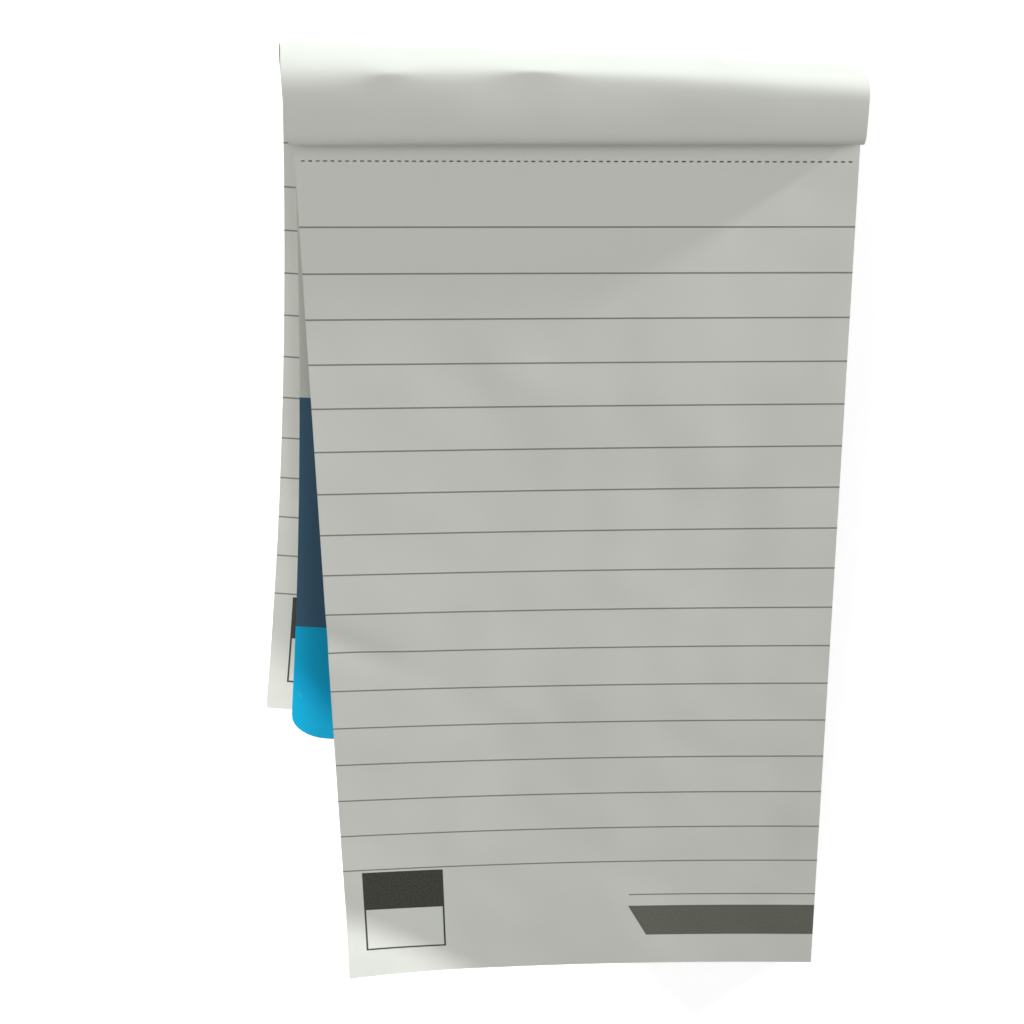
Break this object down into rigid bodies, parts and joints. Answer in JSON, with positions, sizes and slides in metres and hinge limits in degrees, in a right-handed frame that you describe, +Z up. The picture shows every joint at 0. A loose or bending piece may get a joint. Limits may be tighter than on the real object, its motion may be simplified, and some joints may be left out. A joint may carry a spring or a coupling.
{
  "type": "notepad",
  "caption": "Ruled notepad stapled at the head, lying on its back with its cover and first leaves rolled back over the head and the foot corner of its top leaf curled up.",
  "frame": {"origin": "middle of the pad's width and length, on the table under the turned leaves", "axes": "+X across the leaves towards their right edge, +Y along the leaves towards the stapled head, +Z up from the table"},
  "size_m": [0.1178, 0.1955, 0.0293],
  "materials": {
    "leaf_paper": "off-white writing paper with grey rules",
    "turned_paper": "off-white writing paper, blank on its reverse",
    "printed_card": "coated card printed pale grey, dark blue and bright blue",
    "plain_card": "plain pale card",
    "staple_wire": "bright steel wire"
  },
  "bodies": {
    "root": {"page_block": "leaf_paper", "turned_pages": "turned_paper", "front_cover": "printed_card", "back_cover": "plain_card", "staples": "staple_wire"}
  },
  "joints": []
}
